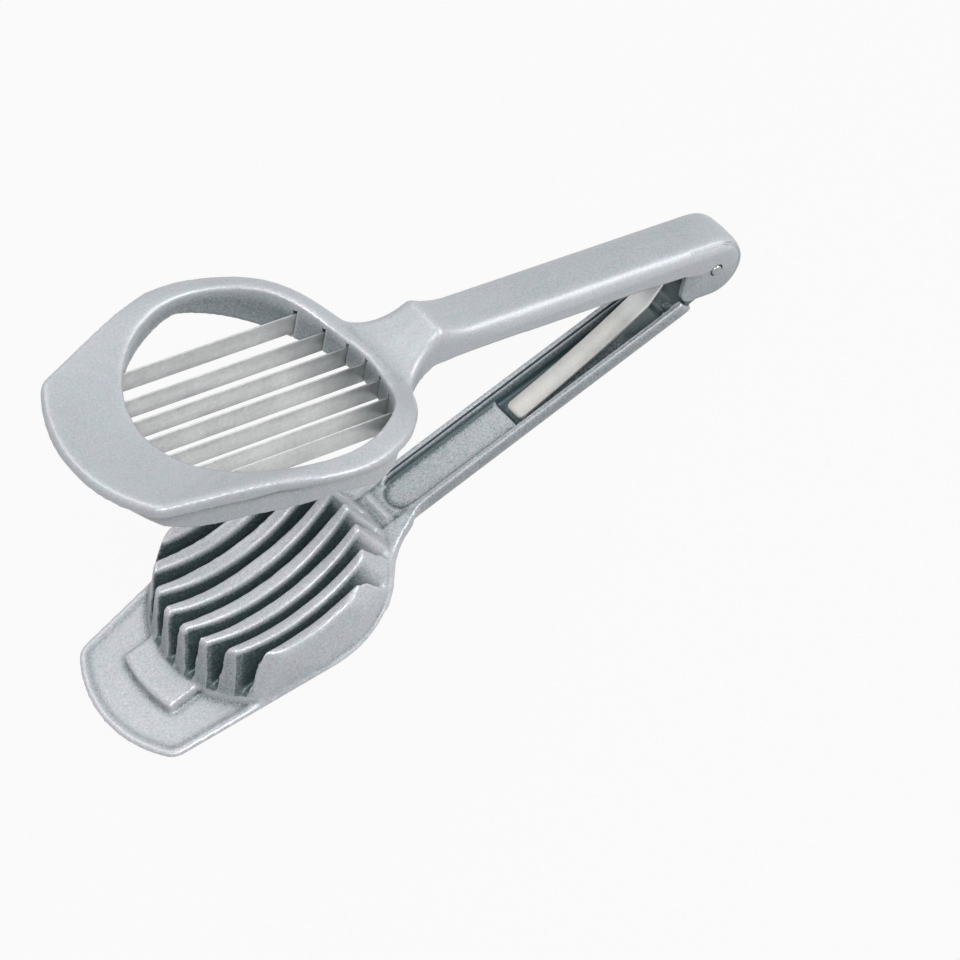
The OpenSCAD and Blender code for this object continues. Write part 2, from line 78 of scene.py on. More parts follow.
class Num:
    """A shader value on which Python's operators add Math nodes."""

    def __init__(self, shader: "Shader", socket: bpy.types.NodeSocket) -> None:
        """Wraps one output socket of a shader's node."""
        self.shader = shader
        self.socket = socket

    def math(self, operation: str, *others: Any) -> "Num":
        """Adds one Math node.

        Args:
            operation: the Math node's operation.
            others: the further operands, numbers or values.

        Returns:
            The node's result.
        """
        return self.shader.math(operation, self, *others)

    def __add__(self, other: Any) -> "Num":
        """Sum."""
        return self.shader.math("ADD", self, other)

    def __radd__(self, other: Any) -> "Num":
        """Sum, reflected."""
        return self.shader.math("ADD", other, self)

    def __sub__(self, other: Any) -> "Num":
        """Difference."""
        return self.shader.math("SUBTRACT", self, other)

    def __rsub__(self, other: Any) -> "Num":
        """Difference, reflected."""
        return self.shader.math("SUBTRACT", other, self)

    def __mul__(self, other: Any) -> "Num":
        """Product."""
        return self.shader.math("MULTIPLY", self, other)

    def __rmul__(self, other: Any) -> "Num":
        """Product, reflected."""
        return self.shader.math("MULTIPLY", other, self)

    def clamped(self) -> "Num":
        """The value held between 0 and 1."""
        return self.shader.math("MINIMUM", self.shader.math("MAXIMUM", self, 0.0), 1.0)


class Shader:
    """The nodes of one material or sky."""

    def __init__(self, owner: bpy.types.Material | bpy.types.World, output: str) -> None:
        """Starts an empty tree.

        Args:
            owner: the material or sky it belongs to.
            output: the type of its output node.
        """
        owner.use_nodes = True
        self.tree = owner.node_tree
        self.tree.nodes.clear()
        self.output = self.node(output)

    @classmethod
    def of_material(cls, name: str) -> "Shader":
        """Starts a new material.

        Args:
            name: the material's name.

        Returns:
            Its shader, still without a surface.
        """
        material = bpy.data.materials.new(name)
        made = cls(material, "ShaderNodeOutputMaterial")
        made.material = material
        return made

    def finish(self, last: bpy.types.Node) -> None:
        """Joins the last shader node to the output."""
        self.tree.links.new(last.outputs[0], self.output.inputs[0])

    def node(self, kind: str, settings: dict[str, Any] | None = None,
             sockets: dict[Any, Any] | None = None) -> bpy.types.Node:
        """Adds a node.

        Args:
            kind: the node's type name.
            settings: properties of the node, set before its sockets; "stops" holds
                a colour ramp's (position, colour) pairs.
            sockets: input name or number, and the value or link it gets.

        Returns:
            The new node.
        """
        made = self.tree.nodes.new(kind)
        for name, value in (settings or {}).items():
            if name == "stops":
                ramp = made.color_ramp
                while len(ramp.elements) < len(value):
                    ramp.elements.new(1.0)
                for element, (position, colour) in zip(ramp.elements, value):
                    element.position = position
                    element.color = colour
            else:
                setattr(made, name, value)
        for key, value in (sockets or {}).items():
            source = value.socket if isinstance(value, Num) else value
            if isinstance(source, bpy.types.NodeSocket):
                self.tree.links.new(source, made.inputs[key])
            else:
                made.inputs[key].default_value = source
        return made

    def math(self, operation: str, *values: Any) -> Num:
        """Adds a Math node and returns its result."""
        made = self.node("ShaderNodeMath", {"operation": operation},
                         dict(enumerate(values)))
        return Num(self, made.outputs[0])

    def position(self) -> bpy.types.NodeSocket:
        """The object's own coordinates."""
        return self.node("ShaderNodeTexCoord").outputs["Object"]

    def axes(self, where: Any) -> tuple[Num, Num, Num]:
        """Parts a position.

        Args:
            where: the position.

        Returns:
            Its x, y and z.
        """
        made = self.node("ShaderNodeSeparateXYZ", None, {0: where})
        x, y, z = (Num(self, made.outputs[i]) for i in range(3))
        return x, y, z

    def edges(self, gain: float) -> Num:
        """Above 0 on outer edges and below 0 in inner corners."""
        made = self.node("ShaderNodeNewGeometry")
        return (Num(self, made.outputs["Pointiness"]) - 0.5) * gain

    def noise(self, where: Any, scale: float, detail: float = 2.0,
              rough: float = 0.5) -> Num:
        """Fractal noise between 0 and 1.

        Args:
            where: coordinates.
            scale: cells for each metre.
            detail: number of octaves.
            rough: weight of the finer octaves.

        Returns:
            The noise value.
        """
        made = self.node("ShaderNodeTexNoise", None,
                         {"Vector": where, "Scale": scale, "Detail": detail, "Roughness": rough})
        return Num(self, made.outputs["Fac"])

    def stretched(self, where: Any, scale: Triple,
                  turn: Triple = (0.0, 0.0, 0.0)) -> Any:
        """Turns coordinates and then scales them by axis.

        Args:
            where: the coordinates.
            scale: the three scales.
            turn: the three turns, in radians.

        Returns:
            The new coordinates.
        """
        turned = self.node("ShaderNodeMapping", {"vector_type": "TEXTURE"},
                           {"Vector": where, "Rotation": turn})
        made = self.node("ShaderNodeMapping", {"vector_type": "POINT"},
                         {"Vector": turned.outputs[0], "Scale": scale})
        return made.outputs[0]

    def ramp(self, value: Any, stops: list[tuple[float, tuple[float, ...]]]) -> Any:
        """A colour from a value by a colour ramp."""
        made = self.node("ShaderNodeValToRGB", {"stops": stops}, {0: value})
        return made.outputs["Color"]

    def mix(self, factor: Any, first: Any, second: Any, blend: str = "MIX") -> Any:
        """Blends two colours."""
        made = self.node("ShaderNodeMix", {"data_type": "RGBA", "blend_type": blend},
                         {0: factor, 6: first, 7: second})
        return made.outputs[2]

    def bump(self, height: Any, depth: float, strength: float = 1.0) -> Any:
        """A normal from a height between 0 and 1 over that depth in metres."""
        made = self.node("ShaderNodeBump", None,
                         {"Height": height, "Distance": depth, "Strength": strength})
        return made.outputs[0]

    def surface(self, varying: dict[str, Any], fixed: dict[str, Any]) -> bpy.types.Material:
        """Ends the material in a Principled shader.

        Args:
            varying: sockets that take links.
            fixed: sockets that take plain values.

        Returns:
            The finished material.
        """
        self.finish(self.node("ShaderNodeBsdfPrincipled", None, {**fixed, **varying}))
        return self.material


# ---- finishes --------------------------------------------------------------


def past(value: Num, limit: float, fade: float) -> Num:
    """Rises from 0 to 1 over a distance above a limit."""
    return ((value - limit) * (1.0 / fade)).clamped()


def short(value: Num, limit: float, fade: float) -> Num:
    """Rises from 0 to 1 over a distance below a limit."""
    return ((limit - value) * (1.0 / fade)).clamped()


@dataclass(frozen=True)
class CastFinish:
    """Blasted and silvered cast aluminium, lighter on its outer edges by wear and painted
    highlight, with painted shade in its inner corners and recesses.
    """

    # tone ramp; its darkest stop is reached only under the deepest painted shade
    tones: tuple[tuple[float, Colour], ...] = (
        (0.0, (0.040, 0.068, 0.074, 1.0)),
        (0.35, (0.34, 0.365, 0.38, 1.0)),
        (0.6, (0.50, 0.51, 0.53, 1.0)),
        (1.0, (0.86, 0.84, 0.87, 1.0)),
    )
    cool: Colour = (0.93, 0.985, 0.98, 1.0)
    warm: Colour = (1.0, 0.96, 1.0, 1.0)
    grain: float = 3400.0
    cloud: float = 60.0
    edge_gain: float = 14.0
    metal: float = 0.12
    rough: float = 0.37
    coarse: float = 1.1
    base_tone: float = 0.43
    cloud_depth: float = 0.12
    # outer edges: edge wear and painted highlight; inner corners and recesses: painted shade
    crest_wear_and_highlight: float = 0.25
    corner_shade_depth: float = 0.8
    recess_shade_depth: float = 0.5
    flake_from: float = 0.58
    bump_depth: float = 0.06 * MM

    def painted_shading(self, s: Shader, where: Any) -> Any:
        """Painted shade at a point, up to 1; below 0 where painted light is added."""
        return 0.0

    def material(self, name: str) -> bpy.types.Material:
        """Builds the casting's material.

        Args:
            name: the material's name.

        Returns:
            The node material.
        """
        s = Shader.of_material(name)
        where = s.position()
        fine = s.noise(where, self.grain, 3.0, 0.65)
        speck = s.noise(where, self.grain * 0.45, 2.0, 0.6)
        cloud = s.noise(where, self.cloud, 3.0, 0.5)
        turn = s.edges(self.edge_gain)
        # crest: edge wear and painted highlight; corner: painted shade in inner corners
        crest = turn.clamped()
        corner = (turn * -1.0).clamped()
        # painted shade in recesses, and painted light, from each casting's finish
        shading_mask = self.painted_shading(s, where)
        grit = ((fine - 0.5) * 0.5 + (speck - 0.5) * 0.25) * self.coarse
        tone = (grit + (cloud - 0.5) * self.cloud_depth + crest * self.crest_wear_and_highlight
                - corner * self.corner_shade_depth - shading_mask * self.recess_shade_depth + self.base_tone)
        patches = s.noise(where, self.cloud * 5.0, 3.0, 0.6)
        tint = s.mix(((patches - 0.5) * 3.0 + 0.5).clamped(), self.cool, self.warm)
        colour = s.mix(1.0, s.ramp(tone.clamped(), list(self.tones)), tint, "MULTIPLY")
        flake = ((fine - self.flake_from) * 9.0).clamped()
        rough = (fine - 0.5) * 0.3 + self.rough - crest * 0.1
        metal = flake * 0.25 + crest * 0.25 + self.metal
        return s.surface({"Base Color": colour,
                          "Roughness": rough.clamped(), "Metallic": metal.clamped(),
                          "Normal": s.bump(fine * 0.6 + speck * 0.7, self.bump_depth, 0.9)},
                         {"IOR": 1.5, "Specular IOR Level": 0.8})


@dataclass(frozen=True)
class LowerFinish(CastFinish):
    """The lower casting's finish, with painted shade between the ribs and in the arm's channel,
    and painted light on the arm's rims and the tray.
    """

    coarse: float = 1.8
    # slots between the ribs, and the dish across their tops
    pitch: float = 6.5 * MM
    slot_half: tuple[float, float] = (0.85 * MM, 1.95 * MM)
    slot_ease: float = 0.6 * MM
    slot_floor: float = 5.3 * MM
    rib_top: float = 18.9 * MM
    dish_centre: float = 53.3 * MM
    dish_radius: float = 42.0 * MM
    dish_cross: float = 172.0 * MM
    # round block that the ribs are cut from
    row_half: float = 21.8 * MM
    fade_radius: float = 22.5 * MM
    block_middle: float = -0.8 * MM
    block_radius: float = 30.6 * MM
    block_front: float = -16.8 * MM
    # painted shade on the rib fronts; painted light on the tray and rib block in front of the arm
    front_shade: float = 0.4
    tray_end: float = 34.0 * MM
    tray_light: float = 0.15
    # channel of the arm, its pocket under the spring, and the knuckle
    channel_x: float = 27.0 * MM
    channel_half: float = 5.3 * MM
    channel_top: float = 5.3 * MM
    pocket_top: float = 2.6 * MM
    hinge_end: float = 106.0 * MM
    knuckle_x: float = 114.0 * MM
    # rims of the arm, with the ledge and the painted highlight lines along them
    arm_x: tuple[float, float] = (36.0 * MM, 38.0 * MM)
    rim_inner: float = 6.1 * MM
    rim_outer: float = 6.95 * MM
    ledge: tuple[float, float] = (5.1 * MM, 6.1 * MM)
    ledge_height: tuple[float, float] = (4.55 * MM, 5.6 * MM)
    line: tuple[float, float] = (5.8 * MM, 6.25 * MM)
    line_height: tuple[float, float] = (5.6 * MM, 5.4 * MM)

    def painted_shading(self, s: Shader, where: Any) -> Num:
        """Painted shade, growing downwards between the ribs and in the arm's channel, less painted
        highlights on the rims and painted light on the tray.

        Args:
            s: the material's shader.
            where: the point.

        Returns:
            How much painted shade a point gets; below 0 where painted light is added.
        """
        x, y, z = s.axes(where)
        side = y.math("ABSOLUTE")
        # painted highlights on the rims lift the channel's painted shade; the tray and rib block
        # get painted light
        arm = self.channel(x, side, z) - self.rim_highlights(x, side, z)
        tray_lift = short(x, self.tray_end, 6.0 * MM) * self.tray_light
        return self.between_ribs(x, y, z).math("MAXIMUM", arm) - tray_lift

    def channel(self, x: Num, side: Num, z: Num) -> Num:
        """Paints shade on the channel's floor and corners, darkest in the pocket and by the hinge,
        in the knuckle's cavity and on the arm's outer sides.

        Args:
            x: place along the arm.
            side: distance from the arm's middle.
            z: height.

        Returns:
            How much painted shade a point gets.
        """
        inside = short(side, self.channel_half + 0.7 * MM, 0.4 * MM)
        corner = past(side, self.channel_half - 1.2 * MM, 0.9 * MM)
        pocket = short(z, self.pocket_top, 0.8 * MM)
        by_hinge = past(x, self.hinge_end, 6.0 * MM)
        depth = (corner * 0.45 + pocket * 0.5 + by_hinge * 0.8 + 0.2).clamped()
        floor = (past(x, self.channel_x, MM) * short(z, self.channel_top, 1.2 * MM)
                 * inside * depth)
        # painted shade in the knuckle's cavity and on the arm's outer sides
        knuckle = past(x, self.knuckle_x, 2.0 * MM) * inside * 0.8
        outer = past(x, self.arm_x[0], 7.0 * MM) * past(side, self.rim_inner, 0.15 * MM) * 0.42
        return floor.math("MAXIMUM", knuckle).math("MAXIMUM", outer)

    def rim_highlights(self, x: Num, side: Num, z: Num) -> Num:
        """Paints highlights on the edges of the arm's rims and on the ledge inside them.

        Args:
            x: place along the arm.
            side: distance from the arm's middle.
            z: height.

        Returns:
            How much painted highlight a point gets.
        """
        fade = 0.1 * MM
        ledge = (past(side, self.ledge[0], fade) * short(side, self.ledge[1], fade)
                 * past(z, self.ledge_height[0], fade) * short(z, self.ledge_height[1], fade))
        inner = (short(side, self.line[1], fade) * past(side, self.line[0], fade)
                 * past(z, self.line_height[0], fade / 2))
        outer = past(side, self.rim_outer, fade) * past(z, self.line_height[1], fade)
        bright = (ledge + inner) * 0.9 + outer * 0.6
        return past(x, self.arm_x[1], 4.0 * MM) * bright

    def between_ribs(self, x: Num, y: Num, z: Num) -> Num:
        """Paints shade on the walls and floors of the ribs' slots, and on the rib fronts.

        Args:
            x: place along the arm.
            y: place across the ribs.
            z: height.

        Returns:
            How much painted shade a point gets.
        """
        off = y.math("PINGPONG", self.pitch / 2)
        low, high = self.slot_half
        slope = (high - low) / (self.rib_top - self.slot_floor)
        half = (z - self.slot_floor) * slope + (low + self.slot_ease)
        between = past(half - off, 0.0, 0.3 * MM)
        curve = self.dish_radius - y * y * (1.0 / self.dish_cross)
        dish = self.dish_centre - (curve * curve - x * x).math("SQRT")
        sunk = past(dish.math("MINIMUM", self.rib_top) - z, 0.5 * MM, 1.4 * MM)
        ahead = x - self.block_middle
        radius = (ahead * ahead + y * y).math("SQRT")
        within = short(radius, self.block_radius, MM)
        row = short(y.math("ABSOLUTE"), self.row_half, 0.3 * MM)
        above = past(z, self.slot_floor - 0.8 * MM, 0.4 * MM)
        # painted shade on the rib fronts
        front = short(x, self.block_front, 4.0 * MM) * self.front_shade
        rear = past(x, self.block_middle, 4.0 * MM)
        fade = 1.0 - rear * past(radius, self.fade_radius, 4.0 * MM)
        return (between * sunk * fade).math("MAXIMUM", front * sunk) * within * above * row


@dataclass(frozen=True)
class UpperFinish(CastFinish):
    """The upper casting's finish, with painted shade in its opening, its hollow, on the ears'
    cheeks and on the handle's top, and a painted highlight band on the handle's sides.
    """

    hinge: Vector = field(default_factory=Vector)
    angle: float = 0.0
    # wall of the round opening under the saddle of the ring's top
    wall: float = 31.9 * MM
    face: float = 5.4 * MM
    rise: float = 6.8
    # cheeks of the ears
    ear_reach: float = 10.0 * MM
    cheek: tuple[float, float] = (5.9 * MM, 6.75 * MM)
    # hollow and top of the handle, with painted shade, and the painted highlight band on its side
    hollow_from: float = 56.0 * MM
    hollow_past: float = 6.5 * MM
    hollow_half: float = 5.4 * MM
    hollow_top: float = 6.0 * MM
    top_from: float = 8.2 * MM
    top_half: float = 6.0 * MM
    band_from: float = 6.3 * MM
    band_height: tuple[float, float] = (5.2 * MM, 9.2 * MM)

    def painted_shading(self, s: Shader, where: Any) -> Num:
        """Painted shade, growing down the wall of the round opening and inside the handle, also on
        the ears' cheeks and the handle's top, less a painted highlight band on the handle's side.

        Args:
            s: the material's shader.
            where: the point.

        Returns:
            How much painted shade a point gets; below 0 in the painted highlight band.
        """
        closed = s.node("ShaderNodeMapping", {"vector_type": "TEXTURE"},
                        {"Vector": where, "Location": tuple(self.hinge),
                         "Rotation": (0.0, self.angle, 0.0)})
        x, y, z = s.axes(closed.outputs[0])
        x = x + self.hinge.x
        side = y.math("ABSOLUTE")
        inside = short((x * x + y * y).math("SQRT"), self.wall, 0.5 * MM)
        under = past(y * y * self.rise + self.face - z, 0.0, 3.0 * MM)
        cheek = (past(x, self.hinge.x - self.ear_reach, 0.4 * MM)
                 * past(side, self.cheek[0], 0.2 * MM) * short(side, self.cheek[1], 0.1 * MM))
        hollow = (short(side, self.hollow_half, 0.3 * MM) * short(z, self.hollow_top, MM)
                  * short(x, self.hinge.x + self.hollow_past, 0.5 * MM)
                  * past(x, self.hollow_from, 3.0 * MM))
        grip = past(x, self.hollow_from, 12.0 * MM)
        top = past(z, self.top_from, 0.6 * MM) * grip * short(side, self.top_half, 1.6 * MM)
        highlight_band = (grip * past(side, self.band_from, 0.4 * MM) * past(z, self.band_height[0], MM)
                * short(z, self.band_height[1], 0.5 * MM))
        # painted shade on the wall, cheeks, hollow and top; the band is a painted highlight
        dark = ((inside * under * 0.42).math("MAXIMUM", cheek * 0.35)
                .math("MAXIMUM", hollow * 0.9).math("MAXIMUM", top * 0.12))
        return dark - highlight_band * 0.22


@dataclass(frozen=True)
class SteelFinish:
    """Rolled steel strip or wire, with a faint grain along its length."""

    name: str
    dark: Colour
    light: Colour
    rough: float
    slope: float
    metal: float = 0.8
    grain: float = 900.0
    stain: float = 0.0
    stain_colour: Colour = (0.60, 0.52, 0.38, 1.0)
    other: Colour = (0.13, 0.145, 0.15, 1.0)
    bump_depth: float = 0.02 * MM

    def shade(self, s: Shader, where: Any) -> Any:
        """How far a point goes over to the other colour."""
        return 0.0

    def material(self) -> bpy.types.Material:
        """Builds the steel's material, with its grain turned along the strip.

        Returns:
            The node material.
        """
        s = Shader.of_material(self.name)
        where = s.position()
        along = s.stretched(where, (0.12, 1.0, 1.0), (0.0, self.slope, 0.0))
        lines = s.noise(along, self.grain * 2.2, 2.0, 0.6)
        speck = s.noise(where, self.grain, 3.0, 0.6)
        cloud = s.noise(where, 110.0, 3.0, 0.55)
        tone = (lines - 0.5) * 0.5 + (speck - 0.5) * 0.9 + (cloud - 0.5) * 0.8 + 0.5
        strip = s.mix(tone.clamped(), self.dark, self.light)
        colour = s.mix(self.shade(s, where), strip, self.other)
        if self.stain > 0.0:
            warm = (s.noise(where, 160.0, 2.0, 0.5) - 0.5) * 4.0 * self.stain + 0.3 * self.stain
            colour = s.mix(warm.clamped(), colour, self.stain_colour)
        rough = ((speck - 0.5) * 0.25 + (lines - 0.5) * 0.2 + self.rough).clamped()
        return s.surface({"Base Color": colour, "Roughness": rough,
                          "Normal": s.bump(lines * 0.6 + speck * 0.4, self.bump_depth, 0.6)},
                         {"Metallic": self.metal, "IOR": 1.5})


@dataclass(frozen=True)
class BladeFinish(SteelFinish):
    """The blades' finish, darker towards the hinge in mottled patches."""

    hinge: Vector = field(default_factory=Vector)
    darken_from: float = 13.0 * MM

    def shade(self, s: Shader, where: Any) -> Num:
        """Grows towards the end by the hinge.

        Args:
            s: the material's shader.
            where: the point.

        Returns:
            How far it goes over to the other colour.
        """
        x, _, z = s.axes(where)
        away = ((x - self.hinge.x) * (x - self.hinge.x)
                + (z - self.hinge.z) * (z - self.hinge.z)).math("SQRT")
        near = short(away, self.hinge.x - self.darken_from, 14.0 * MM)
        mottle = s.noise(where, 150.0, 2.0, 0.5) + 0.4
        return (near * mottle * 0.8).clamped()


@dataclass(frozen=True)
class SpringFinish(SteelFinish):
    """The spring's finish, with a painted highlight at its end by the hinge."""

    highlight_from: float = 108.0 * MM

    def shade(self, s: Shader, where: Any) -> Num:
        """Grows towards the end by the hinge."""
        return past(s.axes(where)[0], self.highlight_from, 5.0 * MM) * 0.75


# ---- mesh helpers ----------------------------------------------------------


def put(name: str, shape: bmesh.types.BMesh, place: Matrix, material: bpy.types.Material,
        smooth_angle: float = 35.0) -> bpy.types.Object:
    """Makes an object from a bmesh, with its place in its mesh.

    Args:
        name: the piece's name.
        shape: the mesh data, which is freed.
        place: where the shape goes in the shared frame.
        material: its finish.
        smooth_angle: edges sharper than this stay sharp, in degrees.

    Returns:
        The new object, at the origin.
    """
    bmesh.ops.transform(shape, matrix=place, verts=shape.verts)
    bmesh.ops.recalc_face_normals(shape, faces=shape.faces)
    for face in shape.faces:
        face.smooth = True
    limit = math.radians(smooth_angle)
    for edge in shape.edges:
        edge.smooth = not (edge.is_manifold and edge.calc_face_angle() > limit)
    mesh = bpy.data.meshes.new(name)
    shape.to_mesh(mesh)
    shape.free()
    mesh.materials.append(material)
    made = bpy.data.objects.new(name, mesh)
    bpy.context.scene.collection.objects.link(made)
    return made


def enrol(piece: bpy.types.Object, body: str, slot: Slot, *nodes: str) -> None:
    """Attaches a piece to its body and hides the nodes that it stands for.

    Args:
        piece: the piece.
        body: the body it moves with.
        slot: not used.
        nodes: the nodes that it stands for.
    """
    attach(piece, body)
    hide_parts(*nodes)
    LOG.info("%s: %d faces, on %s", piece.name, len(piece.data.polygons), body)


def as_bmesh(node: bpy.types.Object) -> bmesh.types.BMesh:
    """Copies a node's mesh and merges it.

    Args:
        node: the node, which isn't changed.

    Returns:
        The copy.
    """
    shape = bmesh.new()
    shape.from_mesh(node.data)
    bmesh.ops.remove_doubles(shape, verts=shape.verts, dist=1e-6)
    return shape


def block(shape: bmesh.types.BMesh, low: Vector, high: Vector) -> None:
    """Adds a box between two corners."""
    move = Matrix.Translation((low + high) / 2) @ Matrix.Diagonal((*(high - low), 1.0))
    bmesh.ops.create_cube(shape, size=1.0, matrix=move)


def across(shape: bmesh.types.BMesh, radius: float, low: float, high: float) -> None:
    """Adds a round bar across the arms, on the hinge's axis.

    Args:
        shape: the shape it is added to.
        radius: its radius.
        low: where it starts across the arms.
        high: where it ends.
    """
    move = Matrix.Translation((0.0, (low + high) / 2, 0.0)) @ ACROSS
    bmesh.ops.create_cone(shape, cap_ends=True, segments=48, radius1=radius,
                          radius2=radius, depth=high - low, matrix=move)


def bevel(shape: bmesh.types.BMesh, edges: list[Any], width: float, steps: int) -> None:
    """Rounds some edges of a shape, or cuts them flat in one step."""
    bmesh.ops.bevel(shape, geom=edges, offset=width, segments=steps, profile=0.5,
                    affect="EDGES", material=-1)


def merge_flats(shape: bmesh.types.BMesh) -> None:
    """Joins the triangles that lie in one plane."""
    bmesh.ops.dissolve_limit(shape, angle_limit=math.radians(1.0), verts=shape.verts,
                             edges=shape.edges)


def only(kind: type, parts: Any) -> list[Any]:
    """The members of one kind among mixed mesh parts."""
    return [part for part in parts if isinstance(part, kind)]


# ---- sub-assemblies --------------------------------------------------------


@dataclass
class OpenArm:
    """Where the upper arm stands at rest: turned open about the hinge."""

    hinge: Vector
    angle: float

    @classmethod
    def from_joints(cls, joints: list[dict[str, Any]]) -> "OpenArm":
        """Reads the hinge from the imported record's joints."""
        joint = next(j for j in joints if j["name"] == "lid_hinge")
        return cls(Vector(joint["pos_m"]), -math.radians(joint["range_deg"][0]))

    def place(self) -> Matrix:
        """Turns what is drawn closed, about the hinge, to the open position."""
        there = Matrix.Translation(self.hinge)
        return there @ Matrix.Rotation(self.angle, 4, "Y")

    def box_of(self, node: bpy.types.Object) -> tuple[Vector, Vector]:
        """Measures a node in the closed arm's frame, from the hinge.

        Args:
            node: the node.

        Returns:
            Its lowest and highest corners.
        """
        back = self.place().inverted()
        points = [back @ v.co for v in node.data.vertices]
        low = Vector([min(p[i] for p in points) for i in range(3)])
        high = Vector([max(p[i] for p in points) for i in range(3)])
        return low, high


@dataclass
class Castings:
    """The two castings, with the softened edges of cast and blasted metal."""

    arm: OpenArm
    # softening, stronger on the ribs
    voxel: float = 0.57 * MM
    smoothing: int = 4
    rib_smoothing: int = 6
    rib_zone: float = 33.0 * MM
    rib_foot: float = 3.6 * MM
    # slots that the blades stand in, in solid seats under the ring's wall
    slot_width: float = 0.85 * MM
    slot_head: float = 1.0 * MM
    slot_drop: float = 4.0 * MM
    seat: float = 2.6 * MM
    over: float = 0.9 * MM
    # flat cheek of each ear: a round about the pin, a lobe in front, and a well
    cheek: float = 6.6 * MM
    cheek_depth: float = 1.4 * MM
    clear: float = 2.5 * MM
    border: tuple[tuple[float, float], ...] = (
        (-11.0, -11.0), (11.0, -11.0), (11.0, -0.2), (1.4, -0.9), (-1.4, -0.9), (-11.0, 1.8))
    ear_radius: float = 7.8 * MM
    lobe: tuple[float, float] = (-6.4 * MM, -4.6 * MM)
    lobe_radius: float = 3.2 * MM
    front_top: float = 4.0 * MM
    rim: float = 0.4 * MM
    well: float = 1.8 * MM
    # side walls of the lower arm under the ears, and the ears' sweep
    sweep: float = 11.6 * MM
    walls_from: float = 117.0 * MM
    wall_inner: float = 5.25 * MM
    wall_outer: float = 7.33 * MM
    arm_top: float = 6.0 * MM
    foot: float = 0.15 * MM
    edge_round: float = 2.8 * MM
    levels: int = 10
    # ledge inside the arm's rims and flats on them: far end, half width, height
    ledge_from: float = 39.0 * MM
    ledge: Triple = (117.5 * MM, 5.95 * MM, 4.9 * MM)
    rim_flat: Triple = (121.4 * MM, 8.0 * MM, 5.74 * MM)
    smooth_angle: float = 48.0

    def blades(self, nodes: dict[str, bpy.types.Object]) -> list[bpy.types.Object]:
        """The blades' nodes."""
        return [node for name, node in nodes.items() if name.startswith("blade_")]

    def joined(self, shape: bmesh.types.BMesh, operation: str,
               tool: bmesh.types.BMesh) -> bmesh.types.BMesh:
        """Cuts a shape by another, or adds the other to it.

        Args:
            shape: the shape, which is freed.
            operation: DIFFERENCE or UNION.
            tool: the other shape, which is freed.

        Returns:
            The result.
        """
        pair = []
        for name, data in (("work", shape), ("tool", tool)):
            bmesh.ops.recalc_face_normals(data, faces=data.faces)
            mesh = bpy.data.meshes.new(name)
            data.to_mesh(mesh)
            data.free()
            pair.append(bpy.data.objects.new(name, mesh))
            bpy.context.scene.collection.objects.link(pair[-1])
        carve = pair[0].modifiers.new(operation.lower(), "BOOLEAN")
        carve.operation, carve.solver, carve.object = operation, "EXACT", pair[1]
        result = self.evaluated(pair[0])
        for thing in pair:
            bpy.data.meshes.remove(thing.data)
        return result

    def sides(self, inner: float, outer: float) -> list[tuple[float, float]]:
        """The lower and upper limit across the arm, on each of its sides."""
        return [(-outer, -inner), (inner, outer)]

    def slots_and_cheeks(self, nodes: dict[str, bpy.types.Object]) -> bmesh.types.BMesh:
        """Makes what is cut away for the blades and round the hinge's cheeks.

        Args:
            nodes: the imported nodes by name.

        Returns:
            The cutting shape.
        """
        tools = bmesh.new()
        for node in self.blades(nodes):
            low, high = self.arm.box_of(node)
            middle = (low.y + high.y) / 2
            past_end, half = self.over / 6, self.slot_width / 2
            block(tools, Vector((low.x - past_end, middle - half, low.z - self.slot_drop)),
                  Vector((high.x + past_end, middle + half, high.z + self.slot_head)))
        for near, far in self.sides(self.cheek - 0.5 * MM, self.cheek + self.clear):
            face = tools.faces.new([tools.verts.new((x * MM, near, z * MM))
                                    for x, z in self.border])
            moved = bmesh.ops.extrude_face_region(tools, geom=[face])["geom"]
            bmesh.ops.translate(tools, vec=(0.0, far - near, 0.0),
                                verts=only(bmesh.types.BMVert, moved))
        return tools

    def cheeks(self) -> bmesh.types.BMesh:
        """Makes the flat cheeks about the hinge, with an eased rim.

        Returns:
            Both cheeks.
        """
        shape = bmesh.new()
        lobe_x, lobe_z = self.lobe
        rounds = ((0.0, 0.0, self.ear_radius), (lobe_x, lobe_z, self.lobe_radius))
        for near, far in self.sides(self.cheek - self.cheek_depth, self.cheek):
            points = []
            for y in (near, far):
                for x, z, radius in rounds:
                    points += bmesh.ops.create_circle(
                        shape, segments=64, radius=radius,
                        matrix=Matrix.Translation((x, y, z)) @ ACROSS)["verts"]
                points += [shape.verts.new((lobe_x - self.lobe_radius, y, self.front_top)),
                           shape.verts.new((0.0, y, self.ear_radius - MM))]
            hull = bmesh.ops.convex_hull(shape, input=points)
            spare = only(bmesh.types.BMVert, hull["geom_interior"] + hull["geom_unused"])
            bmesh.ops.delete(shape, geom=list({v for v in spare if v.is_valid}),
                             context="VERTS")
        merge_flats(shape)
        bevel(shape, [e for e in shape.edges
                      if all(abs(abs(v.co.y) - self.cheek) < MM / 100 for v in e.verts)],
              self.rim, 3)
        return shape

    def pin_wells(self) -> bmesh.types.BMesh:
        """Makes what is cut away as shallow wells round the pin's ends.

        Returns:
            The cutting shape.
        """
        shape = bmesh.new()
        for near, far in self.sides(self.cheek - 0.4 * MM, self.cheek + self.clear):
            across(shape, self.well, near, far)
        return shape

    def evaluated(self, thing: bpy.types.Object) -> bmesh.types.BMesh:
        """Applies an object's modifiers.

        Args:
            thing: the object.

        Returns:
            Its mesh as they leave it.
        """
        bpy.context.view_layer.update()
        final = thing.evaluated_get(bpy.context.evaluated_depsgraph_get())
        shape = bmesh.new()
        shape.from_mesh(final.to_mesh())
        final.to_mesh_clear()
        return shape

